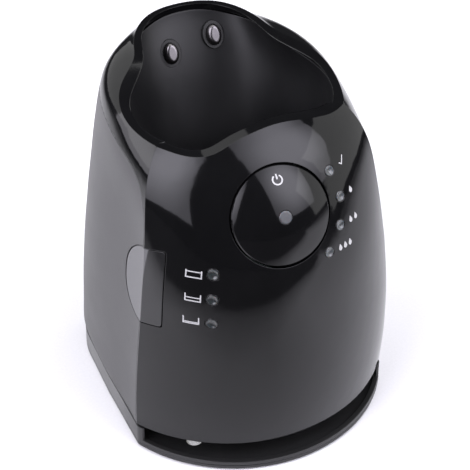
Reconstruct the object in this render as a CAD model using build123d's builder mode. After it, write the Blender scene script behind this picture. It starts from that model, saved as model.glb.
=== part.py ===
from build123d import *
import os
from math import sin, cos, tan, radians, sqrt, hypot, atan2, pi

os.makedirs("parts", exist_ok=True)

# ---------------------------------------------------------------- driving sizes (mm)
# Counter-top cleaning and charging station for a shaver.
# Origin: bottom centre of the base.  +X right seen from the front, front faces -Y, +Z up.
BASE_R = 70.0          # front arc of the base
BASE_HALF_W = 62.6     # straight sides of the base
BASE_FRONT_W = 61.0    # half width where the sides meet the front arc
BASE_REAR_R = 38.0     # plan radius of the rear corners
BASE_SIDE_H = 12.5     # height of the side walls of the base tray
RIM_H = 5.0            # height of the low front rim
FOOT_H = 1.2           # rubber feet under the tray
SHELL_Z0 = 13.5        # lower edge of the lifting housing
WALL = 2.4             # shell wall, measured level
GAP = 0.3              # seam between front cover and rear housing
CRADLE_WALL = 1.7
BTN_C = (0.0, -56.8, 134.7)    # centre of the start button on the front panel
BTN_TILT = 28.3                # its axis leans this far up from level
BTN_R = 22.05
BTN_HOLE_R = 22.75
BTN_TRAVEL = 1.2
LENS_RING_R = 28.9
LENS_ANGLES = (27.9, 2.8, -22.2, -47.3)
LENS_R = 2.45
LEVEL_LENSES = ((-32.0, 113.0), (-33.2, 100.8), (-33.9, 88.2))   # x, z
LEVEL_LENS_R = 2.7
COLLAR_Y = 38.3
LIFT_DIR = (0.6, 0.8, 0.0)     # the lift button is pressed this way
LIFT_TRAVEL = 2.0
HOUSING_LIFT = 25.0            # the housing rises this far for a cartridge change
CHASSIS_Z = 56.0

# outer sections: z, front y, corner (x, y), then side and rear points (x, y) on one half
SECTIONS = [
    (13.0, 65.81, (61.07, -33.50), [(62.37, 0.00), (62.58, 25.80), (54.71, 58.33), (35.70, 68.53)], 69.86),
    (26.0, 67.81, (61.37, -34.93), [(62.93, 0.00), (63.31, 26.35), (53.42, 58.16), (35.25, 67.97)], 69.75),
    (40.0, 69.15, (61.26, -36.32), [(63.11, 0.00), (63.68, 26.32), (52.07, 57.82), (34.43, 67.58)], 69.69),
    (56.0, 69.83, (60.64, -37.57), [(62.83, 0.00), (63.57, 25.69), (50.57, 57.31), (33.11, 67.33)], 69.67),
    (72.0, 69.85, (59.58, -38.27), [(62.06, 0.00), (62.91, 24.65), (49.05, 56.74), (31.44, 67.23)], 69.69),
    (86.0, 69.52, (58.37, -38.27), [(61.01, 0.00), (61.91, 23.61), (47.69, 56.24), (29.72, 67.21)], 69.72),
    (98.0, 68.82, (57.17, -37.73), [(59.85, 0.00), (60.74, 22.73), (46.48, 55.86), (28.08, 67.20)], 69.75),
    (109.0, 67.06, (55.97, -36.71), [(58.58, 0.00), (59.42, 22.04), (45.32, 55.58), (26.47, 67.16)], 69.77),
    (119.0, 63.97, (54.82, -35.31), [(57.26, 0.00), (58.03, 21.58), (44.22, 55.41), (24.93, 67.08)], 69.77),
    (128.0, 60.17, (53.76, -33.61), [(56.39, 0.00), (56.81, 21.34), (43.17, 55.32), (23.48, 66.96)], 69.76),
    (136.0, 56.25, (52.75, -31.69), [(55.72, 0.00), (55.50, 21.29), (42.18, 55.31), (22.18, 66.80)], 69.74),
    (143.0, 52.34, (51.31, -29.41), [(54.73, 0.00), (54.20, 21.22), (41.16, 55.22), (21.21, 66.61)], 69.71),
    (149.0, 48.49, (49.17, -26.75), [(53.18, 0.00), (52.98, 20.98), (40.06, 54.99), (20.66, 66.41)], 69.67),
    (154.0, 44.46, (46.45, -23.85), [(50.84, 0.00), (51.60, 20.57), (38.91, 54.60), (20.50, 66.21)], 69.63),
    (158.0, 40.33, (43.13, -21.01), [(48.16, 0.00), (49.00, 19.87), (36.83, 54.24), (20.15, 66.03)], 69.59),
    (161.5, 35.95, (38.58, -18.07), [(45.11, 0.00), (43.60, 18.64), (32.16, 54.08), (18.67, 65.86)], 69.56),
    (165.0, 30.86, (33.29, -14.68), [(41.29, 0.00), (36.50, 17.11), (26.90, 54.01), (16.25, 65.66)], 69.52),
    (170.0, 22.44, (27.81, -8.96), [(34.32, 0.00), (30.15, 15.88), (22.50, 53.59), (13.18, 65.36)], 69.45),
]


def half_points(sec, t):
    """side and rear points of a section moved inward by t, on the +X half"""
    z, yf, (xc, yc), side, yr = sec
    pts = [(xc, yc)] + list(side) + [(0.0, yr)]
    out = []
    for i, (x, y) in enumerate(pts):
        if i == 0:
            # corner: moved in along both walls
            out.append((x - t * 0.98, y + t * 0.62))
            continue
        if i == len(pts) - 1:
            out.append((0.0, y - t))
            continue
        x0, y0 = pts[i - 1]
        x1, y1 = pts[i + 1]
        l = hypot(x1 - x0, y1 - y0)
        nx, ny = (y1 - y0) / l, -(x1 - x0) / l     # outward for +X side walked to the rear
        out.append((x - nx * t, y - ny * t))
    return out


def body_loft(t, z_lo=None, z_hi=None):
    """the outer form moved inward by t, as one smooth loft with a crease at each front corner"""
    with BuildPart() as bp:
        for sec in SECTIONS:
            z, yf = sec[0], sec[1]
            h = half_points(sec, t)
            right = h
            left = [(-x, y) for x, y in h]
            rear = right + left[:-1][::-1]
            # the shoulder is flat, so there the wall is measured downward as well
            drop = 0.75 * t * max(0.0, min(1.0, (z - 130.0) / 29.0))
            with BuildSketch(Plane.XY.offset(z - drop)) as sk:
                with BuildLine():
                    ThreePointArc(left[0], (0, -(yf - t)), right[0])
                    Spline(*rear)
                make_face()
        loft()
    return bp.part


# crease of the loft and the seam that leaves it near the top (y, z)
SEAM = [(-33.5, 0.0), (-33.5, 13.0), (-34.93, 26.0), (-36.32, 40.0), (-37.57, 56.0), (-38.27, 72.0), (-38.27, 86.0),
        (-37.73, 98.0), (-36.71, 109.0), (-35.31, 119.0), (-33.4, 128.0), (-30.6, 135.5), (-26.2, 141.5), (-20.0, 145.3),
        (-12.0, 147.6), (0.0, 149.0), (20.0, 150.5), (40.0, 152.0), (60.0, 153.5), (80.0, 155.0)]


def seam_prism(back):
    """everything in front of and above the seam, moved back and down by `back`"""
    pts = [(y + back * (1.0 if z < 125 else 0.45), z - back * (0.0 if z < 118 else 0.9)) for y, z in SEAM]
    with BuildPart() as bp:
        with BuildSketch(Plane.YZ.offset(-90)):
            with BuildLine():
                Polyline((-95, 0), pts[0], pts[1])
                Spline(*pts[1:])
                Polyline(pts[-1], (95, 200), (-95, 200), (-95, 0))
            make_face()
        extrude(amount=180)
    return bp.part


def rim_cut(drop):
    """everything above the mouth of the cradle, lowered by `drop`"""
    # side view profile for the rear and the sides
    side = [(-19.0, 157.9), (-9.7, 157.3), (-1.0, 157.3), (8.5, 158.3), (19.0, 160.2), (27.0, 161.9),
            (33.0, 163.5), (37.0, 164.5), (48.0, 165.2), (60.0, 165.7), (75.0, 166.0)]
    with BuildPart() as bp:
        with BuildSketch(Plane.YZ.offset(-90)):
            with BuildLine():
                Spline(*[(y, z - drop) for y, z in side])
                Polyline((75, 166.0 - drop), (75, 205), (-19, 205), (-19.0, 157.9 - drop))
            make_face()
        extrude(amount=180)
        # front view profile for the lip, with its low hump over the button
        lip = [(-85, 157.9), (-48, 157.9), (-43, 158.0), (-38.5, 157.6), (-33, 157.2), (-28.2, 157.4), (-22.8, 158.4),
               (-15.2, 160.9), (-4.5, 163.3), (4, 164.1), (12, 163.7), (20, 162.3), (27, 160.8), (33, 159.5),
               (38, 158.7), (43, 158.2), (48, 157.9), (85, 157.9)]
        with BuildSketch(Plane.XZ.offset(-(-18.9))):
            with BuildLine():
                Spline(*[(x, z - drop) for x, z in lip])
                Polyline((85, 157.9 - drop), (85, 205), (-85, 205), (-85, 157.9 - drop))
            make_face()
        extrude(amount=80)
    return bp.part


# cavity of the cradle: z, then points of a closed curve from the front centre round to the rear (x >= 0)
CAVITY = [
    (68.0,  [(0, -13), (10, -12), (19, -8), (25, 0), (27, 9), (24, 20), (14, 29), (0, 33)]),
    (90.0,  [(0, -19), (13, -17.5), (24, -12), (31.5, -3), (34, 7), (29.5, 21), (16, 31.5), (0, 35)]),
    (115.0, [(0, -24), (16, -22), (29, -15.5), (37, -5), (40, 6), (34.5, 23), (18.5, 37), (0, 41)]),
    (135.0, [(0, -27.5), (18, -26), (32, -19.5), (41, -8), (44, 5), (37.5, 25.5), (21.5, 45.5), (0, 51)]),
    (150.0, [(0, -30), (19, -28.5), (34, -21.5), (43, -9.5), (46.2, 4), (39.5, 28), (24, 52), (0, 59)]),
    (158.0, [(0, -29.5), (19, -28), (33.5, -21.5), (42.3, -10), (45.6, 3), (36.0, 31), (25.8, 54.5), (0, 64)]),
    (172.0, [(0, -28.5), (17, -26.5), (31, -20), (40, -10), (43, 3), (28.2, 36), (26, 57), (0, 67.2)]),
]


def cavity_loft(t):
    """the cradle cavity grown outward by t (and its floor lowered by t)"""
    with BuildPart() as bp:
        for k, (z, pts) in enumerate(CAVITY):
            out = []
            n = len(pts)
            for i, (x, y) in enumerate(pts):
                if i == 0:
                    out.append((0, y - t)); continue
                if i == n - 1:
                    out.append((0, y + t)); continue
                x0, y0 = pts[i - 1]; x1, y1 = pts[i + 1]
                l = hypot(x1 - x0, y1 - y0)
                out.append((x + (y1 - y0) / l * t, y - (x1 - x0) / l * t))
            ring = out + [(-x, y) for x, y in out[1:-1][::-1]]
            zz = z - t if k == 0 else z
            with BuildSketch(Plane.XY.offset(zz)):
                with BuildLine():
                    Spline(*ring, periodic=True)
                make_face()
        loft()
    return bp.part


outer = body_loft(0.0)
inner = body_loft(WALL)
inner_clear = body_loft(WALL + 0.3)
print("outer", outer.volume, outer.bounding_box())
mouth = rim_cut(0.0)
print("mouth", mouth.volume)
mouth_low = rim_cut(2.4)
cav = cavity_loft(0.0)
cav_out = cavity_loft(CRADLE_WALL)
print("cav", cav.volume, cav_out.volume)
front_zone = seam_prism(0.9)
rear_zone = seam_prism(0.9 + GAP)
print("zones", front_zone.volume, rear_zone.volume)

# ---------------------------------------------------------------- frames on the front panel
tilt = radians(BTN_TILT)
N = Vector(0, -cos(tilt), sin(tilt))          # out of the panel
V = Vector(0, sin(tilt), cos(tilt))           # up the panel
btn_plane = Plane(origin=BTN_C, x_dir=(1, 0, 0), z_dir=(0, -cos(tilt), sin(tilt)))   # local y runs up the panel


def rod(plane, x, y, r, z0, z1):
    """plain cylinder standing on a plane, as a free solid"""
    with BuildPart() as bp:
        with BuildSketch(plane.offset(z0)):
            with Locations((x, y)):
                Circle(r)
        extrude(amount=z1 - z0)
    return bp.part


def tube(plane, x, y, r, ri, z0, z1):
    with BuildPart() as bp:
        with BuildSketch(plane.offset(z0)):
            with Locations((x, y)):
                Circle(r)
                Circle(ri, mode=Mode.SUBTRACT)
        extrude(amount=z1 - z0)
    return bp.part


def oval(plane, a, b, z0, z1):
    """elliptic prism, half axes a across and b up the plane"""
    with BuildPart() as bp:
        with BuildSketch(plane.offset(z0)):
            Ellipse(a, b)
        extrude(amount=z1 - z0)
    return bp.part


def block(x0, x1, y0, y1, z0, z1):
    with BuildPart() as bp:
        with BuildSketch(Plane.XY.offset(z0)):
            with Locations(((x0 + x1) / 2, (y0 + y1) / 2)):
                Rectangle(x1 - x0, y1 - y0)
        extrude(amount=z1 - z0)
    return bp.part


lens_xy = [(LENS_RING_R * cos(radians(a)), LENS_RING_R * sin(radians(a))) for a in LENS_ANGLES]
front_plane = Plane(origin=(0, 0, 0), x_dir=(1, 0, 0), z_dir=(0, -1, 0))   # local x = X, local y = Z

# pocket of the lift button: outline across the pressing direction, (s, z)
lift_plane = Plane(origin=(0, 0, 0), x_dir=(0.8, -0.6, 0), z_dir=(-0.6, -0.8, 0))


def lift_prism(grow, d0, d1):
    """prism of the lift button's outline, from d0 to d1 outward along the pressing line"""
    g = grow
    with BuildPart() as bp:
        with BuildSketch(lift_plane.offset(d0)) as lift_sk:
            with BuildLine():
                a = (-23.7, 117.2 + g)
                b = (-11.8 + g, 119.6 + g)
                c = (-13.2 + g, 80.4 - g)
                d = (-24.2, 78.9 - g)
                Polyline(a, b, c, d)
                Spline(d, (-30.2 - g * 0.3, 78.4 - g), (-34.2 - g * 0.8, 83.4 - g * 0.5), (-35.7 - g, 91.0), (-35.3 - g, 98.3 + g * 0.1),
                       (-33.2 - g * 0.8, 105.5 + g * 0.5), (-29.4 - g * 0.6, 111.5 + g * 0.75), a)
            make_face()
            fillet(lift_sk.vertices().sort_by(Axis.X)[-2:], 1.6)
        extrude(amount=d1 - d0)
    return bp.part

# ---------------------------------------------------------------- housing shells
shell_band = block(-90, 90, -90, 90, SHELL_Z0, 200)
shell = ((outer - inner) & shell_band) - mouth
print("shell", shell.volume)

# bosses inside the cover and the rear housing that the chassis screws into
BOSS_F = [(44.0, -38.0), (-44.0, -38.0)]
BOSS_R = [(53.0, 14.0), (-53.0, 14.0)]
outer_in = body_loft(1.2)


def boss(x, y):
    sx = 1 if x > 0 else -1
    solid = rod(Plane.XY, x, y, 3.6, CHASSIS_Z, CHASSIS_Z + 16)
    if y < 0:
        web = block(x - 1.0, x + 1.0, y - 24, y, CHASSIS_Z, CHASSIS_Z + 14)
    else:
        web = block(min(x, x + sx * 18), max(x, x + sx * 18), y - 1.0, y + 1.0, CHASSIS_Z, CHASSIS_Z + 14)
    solid = (solid + web) & outer_in
    return solid - rod(Plane.XY, x, y, 1.35, CHASSIS_Z - 1, CHASSIS_Z + 13)


lift_hole = lift_prism(0.0, 38.0, 110.0)
btn_hole = rod(btn_plane, 0, 0, BTN_HOLE_R, -12, 12)
# collar behind the button hole that guides the button
guide_ring = tube(btn_plane, 0, 0, BTN_HOLE_R + 1.5, BTN_HOLE_R, -9.0, 6.0) & body_loft(0.7)

front_cover = (shell & front_zone) - lift_hole - btn_hole
front_cover = front_cover + guide_ring
for bx, by in BOSS_F:
    front_cover = front_cover + boss(bx, by)
for x, y in lens_xy:
    front_cover = front_cover - rod(btn_plane, x, y, LENS_R + 0.05, -12, 12)
for x, z in LEVEL_LENSES:
    front_cover = front_cover - rod(front_plane, x, z, LEVEL_LENS_R + 0.05, 46, 80)

rear_housing = (shell - rear_zone) - lift_hole
for bx, by in BOSS_R:
    rear_housing = rear_housing + boss(bx, by)
# power inlet opening and ventilation slots low in the back wall
SOCK_Z = 66.0
rear_housing = rear_housing - block(-9.2, 9.2, 60, 80, SOCK_Z - 6.7, SOCK_Z + 6.7)
for k in range(7):
    xk = 24 + 3.4 * k
    if xk < 46:
        rear_housing = rear_housing - block(xk, xk + 1.6, 40, 90, 64, 84)
# the cartridge bay is open at the rear, below the chassis
rear_housing = rear_housing - block(-52, 52, 40, 90, 0, 52.5)
print("front_cover", front_cover.volume, len(front_cover.solids()), "rear", rear_housing.volume, len(rear_housing.solids()))

# ---------------------------------------------------------------- cradle
cradle = ((cav_out & inner_clear) - cav) - mouth_low
DRAIN = (0.0, 8.0)
cradle = cradle + (tube(Plane.XY, DRAIN[0], DRAIN[1], 6.0, 4.2, 50.0, 67.0) & block(-20, 20, -20, 30, 50, 68))
for sx in (-1, 1):
    cradle = cradle + rod(Plane.XY, sx * 18, -2, 2.6, CHASSIS_Z, 67.0)
    cradle = cradle + rod(Plane.XY, sx * 12, 26, 2.6, CHASSIS_Z, 67.0)
cradle = cradle - rod(Plane.XY, DRAIN[0], DRAIN[1], 4.2, 45, 70)
cradle = cradle - rod(Plane.XY, -14.0, 12.0, 1.2, 64, 70)
wall_n = Vector(0, -0.868, 0.496)
PINS = [("contact_pin_left", -8.7, 56.4, 148.5), ("contact_pin_right", 12.5, 57.3, 153.3)]
pin_planes = [Plane(origin=(x, y, z), x_dir=(1, 0, 0), z_dir=(0, -0.868, 0.496)) for _, x, y, z in PINS]
for pp in pin_planes:
    cradle = cradle - oval(pp, 5.0, 6.5, -8, 6)
print("cradle", cradle.volume, len(cradle.solids()))

# ---------------------------------------------------------------- start button, lenses, lift button
with BuildPart() as start_button:
    with BuildSketch(Plane(origin=BTN_C, x_dir=(1, 0, 0), z_dir=(0, -sin(tilt), -cos(tilt)))):
        # local x = X (radius), local y = direction along the button axis
        with BuildLine():
            R = 42.0
            top = 3.7
            def dome(x):
                return top - (R - sqrt(R * R - x * x))
            ThreePointArc((3.0, dome(3.0)), (13.0, dome(13.0)), (BTN_R - 0.5, dome(BTN_R - 0.5)))
            Polyline((BTN_R - 0.5, dome(BTN_R - 0.5)), (BTN_R, dome(BTN_R - 0.5) - 0.7), (BTN_R, -8.2), (BTN_R - 1.6, -8.2),
                     (BTN_R - 1.6, dome(BTN_R) - 1.6), (6.5, top - 2.6), (5.2, top - 2.6), (5.2, -8.0), (3.6, -8.0), (3.6, 1.6), (3.0, 1.6),
                     (3.0, dome(3.0)))
        make_face()
    revolve(axis=Axis(BTN_C, (0, -cos(tilt), sin(tilt))))
print("start_button", start_button.part.volume, start_button.part.bounding_box())

with BuildPart() as button_lens_b:
    with BuildSketch(btn_plane.offset(1.5)):
        Circle(2.9)
    extrude(amount=2.45)
    fillet(button_lens_b.edges().sort_by(Axis(BTN_C, (0, -cos(tilt), sin(tilt))))[-1], 0.6)
    with BuildSketch(btn_plane.offset(0.5)):
        Circle(3.4)
    extrude(amount=1.05)
    with BuildSketch(btn_plane.offset(-8.0)):
        Circle(2.0)
    extrude(amount=8.6)

program_lenses = None
program_leds = None
for x, y in lens_xy:
    s = rod(btn_plane, x, y, LENS_R, -12, 12) & (outer - body_loft(3.6))
    program_lenses = s if program_lenses is None else program_lenses + s
level_lenses = None
for x, z in LEVEL_LENSES:
    s = rod(front_plane, x, z, LEVEL_LENS_R, 46, 80) & (outer - body_loft(3.6))
    level_lenses = s if level_lenses is None else level_lenses + s
print("lenses", program_lenses.volume, len(program_lenses.solids()), level_lenses.volume, len(level_lenses.solids()))

# the lift button is a cap of the shell's own form, 0.5 mm clear of its pocket all round
lift_button = (lift_prism(-0.5, 38.0, 110.0) & outer) - body_loft(3.4)
lift_button = lift_button.solids().sort_by(SortBy.VOLUME)[-1]
print("lift_button", lift_button.volume, lift_button.bounding_box())

# ---------------------------------------------------------------- base
def base_outline(t):
    """plan of the base moved inward by t"""
    r = BASE_R - t
    w = BASE_HALF_W - t
    wf = BASE_FRONT_W - t
    yc = -sqrt(r * r - wf * wf)
    yr = 70.0 - t
    rr = BASE_REAR_R - t
    k = rr * (1 - cos(pi / 4))
    with BuildSketch() as sk:
        with BuildLine():
            ThreePointArc((-wf, yc), (0, -r), (wf, yc))
            Polyline((wf, yc), (w, 4.0), (w, yr - rr))
            ThreePointArc((w, yr - rr), (w - k, yr - k), (w - rr, yr))
            Line((w - rr, yr), (-(w - rr), yr))
            ThreePointArc((-(w - rr), yr), (-(w - k), yr - k), (-w, yr - rr))
            Polyline((-w, yr - rr), (-w, 4.0), (-wf, yc))
        make_face()
        fillet([v for v in sk.vertices() if v.Y < yc + 1.0], max(1.0, 4.0 - t))
    return sk.sketch


def slab(outline, z0, z1):
    with BuildPart() as bp:
        with BuildSketch(Plane.XY.offset(z0)):
            add(outline)
        extrude(amount=z1 - z0)
    return bp.part


o0, o1, o3, o4 = base_outline(0), base_outline(0.6), base_outline(2.2), base_outline(2.9)
base_tray = slab(o0, FOOT_H, 2.75) + slab(o1, 2.7, 3.15) + slab(o0, 3.1, BASE_SIDE_H)
base_tray = base_tray - slab(o3, 3.0, 40)
# the front is a low rim, with short returns at the two corners; the rear is open
yc0 = -32.5
base_tray = base_tray - block(-58.4, 58.4, -80, yc0 + 2.0, RIM_H, 40)
base_tray = base_tray - block(-80, 80, -80, yc0 - 4.2, RIM_H, 40)
base_tray = base_tray - block(-50, 50, 50, 90, 3.0, 40)
HOLES = [(-36.5, -43.0), (36.5, -43.0)]
for x, y in HOLES:
    base_tray = base_tray - rod(Plane.XY, x, y, 3.75, -1, 10)
# rails that steer the cartridge
for sx in (-1, 1):
    base_tray = base_tray + block(min(sx * 57.2, sx * 58.4), max(sx * 57.2, sx * 58.4), -20, 44, 3.0, 8.0)
POSTS = [(-22.0, -43.0), (22.0, -43.0)]
for x, y in POSTS:
    base_tray = base_tray + tube(Plane.XY, x, y, 6.6, 4.05, 3.0, 8.0) - rod(Plane.XY, x, y, 1.6, -1, 6)
base_tray = base_tray - rod(Plane.XY, POSTS[0][0], POSTS[0][1], 3.4, -1, 2.2) - rod(Plane.XY, POSTS[1][0], POSTS[1][1], 3.4, -1, 2.2)
# upright that the latch of the lift button works against
base_tray = base_tray + block(-58.05, -57.4, -29.0, -22.0, 3.0, 47.0) + block(-60.0, -57.4, -29.0, -22.0, 3.0, 12.0)
FEET = [(-46, -30), (46, -30), (-44, 48), (44, 48)]
base_feet = None
for x, y in FEET:
    s = rod(Plane.XY, x, y, 6.0, 0.0, FOOT_H)
    s2 = rod(Plane.XY, x, y, 3.0, FOOT_H - 0.01, 2.2)
    s = s + s2
    base_tray = base_tray - rod(Plane.XY, x, y, 3.02, 0, 2.22)
    base_feet = s if base_feet is None else base_feet + s

guide_posts = None
base_screws = None
for x, y in POSTS:
    s = rod(Plane.XY, x, y, 4.0, 3.0, 90.0) - rod(Plane.XY, x, y, 1.25, 2, 16)
    guide_posts = s if guide_posts is None else guide_posts + s
    s = rod(Plane.XY, x, y, 2.9, 1.3, 2.2) + rod(Plane.XY, x, y, 1.25, 2.1, 12.0)
    base_screws = s if base_screws is None else base_screws + s


def coil(plane, x, y, r, wire, z0, z1, turns):
    """helical spring with its axis along the plane's normal"""
    pitch = (z1 - z0 - wire) / turns
    loc_plane = Plane(origin=plane.from_local_coords((x, y, z0 + wire / 2)), x_dir=plane.x_dir, z_dir=plane.z_dir)
    hx = Helix(pitch, pitch * turns, r)
    hx = loc_plane.location * hx
    start = hx @ 0
    tan0 = hx % 0
    with BuildPart() as bp:
        with BuildSketch(Plane(origin=start, z_dir=tan0)):
            Circle(wire / 2)
        sweep(path=hx)
    return bp.part


# ---------------------------------------------------------------- chassis and guides
chassis = (slab(base_outline(0), CHASSIS_Z - 2.5, CHASSIS_Z) & body_loft(WALL + 0.35))
for x, y in POSTS:
    chassis = chassis - rod(Plane.XY, x, y, 6.05, 40, 70)
chassis = chassis - rod(Plane.XY, DRAIN[0], DRAIN[1], 6.2, 40, 70)
PUMP = (-36.0, 44.0)
FAN = (36.0, 42.0)
chassis = chassis - rod(Plane.XY, PUMP[0] + 4, PUMP[1] - 8, 2.55, 40, 70)
for k in range(-2, 3):
    chassis = chassis - block(FAN[0] - 9, FAN[0] + 9, FAN[1] + k * 4 - 1.0, FAN[1] + k * 4 + 1.0, 40, 70)
for x, y in BOSS_F + BOSS_R:
    chassis = chassis - rod(Plane.XY, x, y, 1.6, 40, 70)
# hook edge for the latch arm
chassis = chassis - block(-70, -52.0, -33.0, -18.0, 40, 70)
chassis_screws = None
for x, y in BOSS_F + BOSS_R:
    s = rod(Plane.XY, x, y, 2.9, CHASSIS_Z - 4.3, CHASSIS_Z - 2.5) + rod(Plane.XY, x, y, 1.35, CHASSIS_Z - 2.6, CHASSIS_Z + 9)
    chassis_screws = s if chassis_screws is None else chassis_screws + s
guide_sleeves = None
for x, y in POSTS:
    s = tube(Plane.XY, x, y, 6.0, 4.08, CHASSIS_Z - 6.0, CHASSIS_Z + 14) + tube(Plane.XY, x, y, 7.4, 4.08, CHASSIS_Z, CHASSIS_Z + 1.6)
    guide_sleeves = s if guide_sleeves is None else guide_sleeves + s
for x, y in POSTS:
    cradle = cradle - rod(Plane.XY, x, y, 8.0, CHASSIS_Z - 8, CHASSIS_Z + 22)

lift_springs = coil(Plane.XY, POSTS[0][0], POSTS[0][1], 5.1, 1.1, 8.0, CHASSIS_Z - 6.0, 9) + coil(Plane.XY, POSTS[1][0], POSTS[1][1], 5.1, 1.1, 8.0, CHASSIS_Z - 6.0, 9)
print("lift_springs", lift_springs.volume, lift_springs.is_valid, len(lift_springs.solids()))

# ---------------------------------------------------------------- boards behind the panel
BOARD_D = -15.0
with BuildPart() as display_board_b:
    with BuildSketch(btn_plane.offset(BOARD_D - 1.6)):
        with Locations((4, -4)):
            Rectangle(58, 44)
    extrude(amount=1.6)
display_board = display_board_b.part & body_loft(WALL + 1.0)
display_board = display_board - cavity_loft(CRADLE_WALL + 0.8)
display_board = display_board.solids().sort_by(SortBy.VOLUME)[-1]
display_leds = None
for x, y in lens_xy:
    s = rod(btn_plane, x, y, 1.5, BOARD_D, BOARD_D + 4.6)
    display_leds = s if display_leds is None else display_leds + s
display_leds = display_leds + rod(btn_plane, 5.6, 5.6, 1.0, BOARD_D, BOARD_D + 3.0)
with BuildPart() as start_switch_b:
    with BuildSketch(btn_plane.offset(BOARD_D)):
        Rectangle(6.2, 6.2)
    extrude(amount=3.4)
start_switch = start_switch_b.part + rod(btn_plane, 0, 0, 1.75, BOARD_D + 3.3, BOARD_D + 5.6)
level_board = block(-43, -27.6, -50.6, -49.0, 78, 120) & body_loft(WALL + 1.0)
level_board = level_board.solids().sort_by(SortBy.VOLUME)[-1]
level_leds = None
for x, z in LEVEL_LENSES:
    s = rod(front_plane, x, z, 1.5, 50.6, 52.1)
    level_leds = s if level_leds is None else level_leds + s

# ---------------------------------------------------------------- contacts for the shaver
contact_springs = []
pins = []
carrier = None
for (name, x, y, z), pp in zip(PINS, pin_planes):
    with BuildPart() as pb:
        with BuildSketch(pp.offset(-2.6)):
            Ellipse(3.4, 4.9)
        extrude(amount=4.9)
        fillet(pb.edges().sort_by(Axis((x, y, z), (0, -0.868, 0.496)))[-1], 2.0)
        with BuildSketch(pp.offset(-6.6)):
            Circle(1.4)
        extrude(amount=4.1)
    pins.append(pb.part)
    s = oval(pp, 4.94, 6.44, -4.0, -0.9) + oval(pp, 6.0, 7.4, -6.4, -3.4)
    s = s - oval(pp, 3.5, 5.0, -4.6, 3) - rod(pp, 0, 0, 1.48, -9, 0)
    carrier = s if carrier is None else carrier + s
    s = coil(pp, 0, 0, 2.1, 0.5, -4.55, -2.65, 2.5)
    contact_springs.append(s)
# web that joins the two bosses behind the cradle wall
mid = Vector(*[(PINS[0][i] + PINS[1][i]) / 2 for i in (1, 2, 3)])
dx = PINS[1][1] - PINS[0][1]
dv = sqrt((PINS[1][2] - PINS[0][2]) ** 2 + (PINS[1][3] - PINS[0][3]) ** 2)
mid_plane = Plane(origin=(mid.X, mid.Y, mid.Z), x_dir=(1, 0, 0), z_dir=(0, -0.868, 0.496))
with BuildPart() as web_b:
    with BuildSketch(mid_plane.offset(-6.4)):
        Rectangle(dx + 4, 9)
    extrude(amount=2.2)
web = web_b.part
for pp in pin_planes:
    web = web - oval(pp, 3.5, 5.0, -4.6, 3) - rod(pp, 0, 0, 1.48, -9, 0)
contact_carrier = (carrier + web)
cradle_no = cavity_loft(CRADLE_WALL + 0.05)
parts_in_wall = None
for pp in pin_planes:
    s = oval(pp, 4.94, 6.44, -8, 3)
    parts_in_wall = s if parts_in_wall is None else parts_in_wall + s
contact_carrier = (contact_carrier - (cradle_no - parts_in_wall)) & inner_clear
print("carrier", contact_carrier.volume, len(contact_carrier.solids()), "pins", [p.volume for p in pins], "springs", [c.is_valid for c in contact_springs])

# ---------------------------------------------------------------- pump
px, py = PUMP
pump_housing = rod(Plane.XY, px, py, 11.5, CHASSIS_Z, CHASSIS_Z + 9.0) - rod(Plane.XY, px, py, 8.6, CHASSIS_Z + 1.6, CHASSIS_Z + 7.6)
pump_housing = pump_housing - rod(Plane.XY, px, py, 1.05, CHASSIS_Z + 7, CHASSIS_Z + 12)
pump_housing = pump_housing - rod(Plane.XY, px + 4, py - 8, 2.55, CHASSIS_Z - 5, CHASSIS_Z + 3)
pump_rotor = rod(Plane.XY, px, py, 1.0, CHASSIS_Z + 4, CHASSIS_Z + 15) + rod(Plane.XY, px, py, 3.0, CHASSIS_Z + 2.2, CHASSIS_Z + 7.0)
for k in range(6):
    with BuildPart() as vane:
        with BuildSketch(Plane(origin=(px, py, CHASSIS_Z + 2.2), x_dir=(cos(k * pi / 3), sin(k * pi / 3), 0), z_dir=(0, 0, 1))):
            with Locations((5.4, 0)):
                Rectangle(5.4, 1.2)
        extrude(amount=4.8)
    pump_rotor = pump_rotor + vane.part
pump_motor = rod(Plane.XY, px, py, 10.5, CHASSIS_Z + 9.0, CHASSIS_Z + 33.0) + rod(Plane.XY, px, py, 4.0, CHASSIS_Z + 33.0, CHASSIS_Z + 35.0)
pump_motor = pump_motor - rod(Plane.XY, px, py, 1.3, CHASSIS_Z + 8, CHASSIS_Z + 17)
# suction pipe down into the cartridge, and the pipe that refills the cradle
suction_pipe = tube(Plane.XY, px + 4, py - 8, 2.5, 1.5, 30.0, CHASSIS_Z + 1.6)
with BuildPart() as return_pipe_b:
    with BuildLine() as rp:
        FilletPolyline((px + 7.5, py - 12.0, CHASSIS_Z + 4.5), (px + 14.0, py - 20.0, CHASSIS_Z + 4.5), (-14.0, 12.0, CHASSIS_Z + 4.5),
                       (-14.0, 12.0, CHASSIS_Z + 10.3), radius=3.0)
    with BuildSketch(Plane(origin=rp.line @ 0, z_dir=rp.line % 0)):
        Circle(1.9)
    sweep(path=rp.line)
return_pipe = return_pipe_b.part
drain_seal = tube(Plane.XY, DRAIN[0], DRAIN[1], 8.6, 6.0, 50.0, 53.4)
with BuildPart() as sieve_b:
    with BuildSketch(Plane.XY.offset(66.8)):
        with Locations(DRAIN):
            Circle(4.15)
        with Locations((DRAIN[0], DRAIN[1])):
            with PolarLocations(2.4, 6):
                Circle(0.7, mode=Mode.SUBTRACT)
            Circle(0.7, mode=Mode.SUBTRACT)
    extrude(amount=0.9)
drain_sieve = sieve_b.part

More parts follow.
